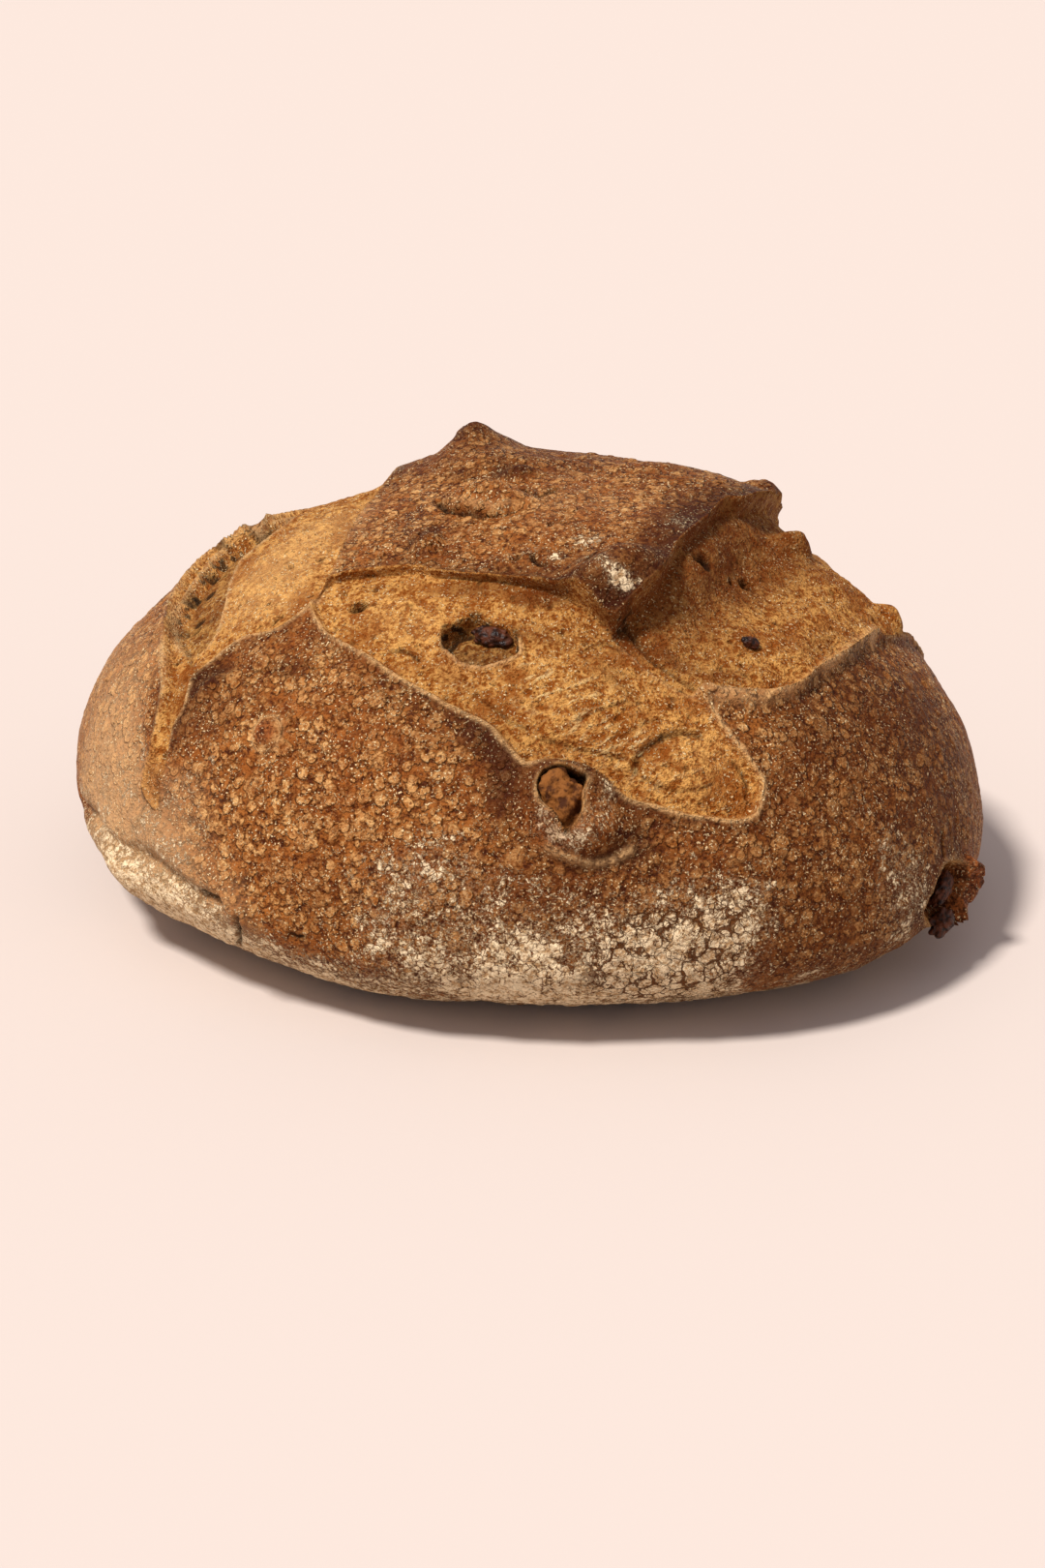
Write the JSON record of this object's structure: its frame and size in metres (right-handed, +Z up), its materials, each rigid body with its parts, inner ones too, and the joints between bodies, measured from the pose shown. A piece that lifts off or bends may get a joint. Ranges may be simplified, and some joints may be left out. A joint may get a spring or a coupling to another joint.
{
  "type": "raisin walnut bread",
  "caption": "Round sourdough loaf with raisins and walnut, scored in a square so that a plate of crust lifts on its top; free-standing on a flat base.",
  "frame": {"origin": "under the middle of the loaf, on the surface that it stands on", "axes": "+Z up; +X to the right along the loaf's longest side, seen from the side with the widest cut, which faces -Y"},
  "size_m": [0.2086, 0.1816, 0.0982],
  "materials": {
    "crust": "matt baked crust, blistered and floured",
    "raisin": "satin wrinkled dried fruit",
    "walnut": "matt roasted nut"
  },
  "bodies": {
    "root": {"loaf": "crust", "raisin_pocket": "raisin", "raisin_side_upper": "raisin", "raisin_side_lower": "raisin", "raisin_crumb": "raisin", "walnut": "walnut"}
  },
  "joints": []
}
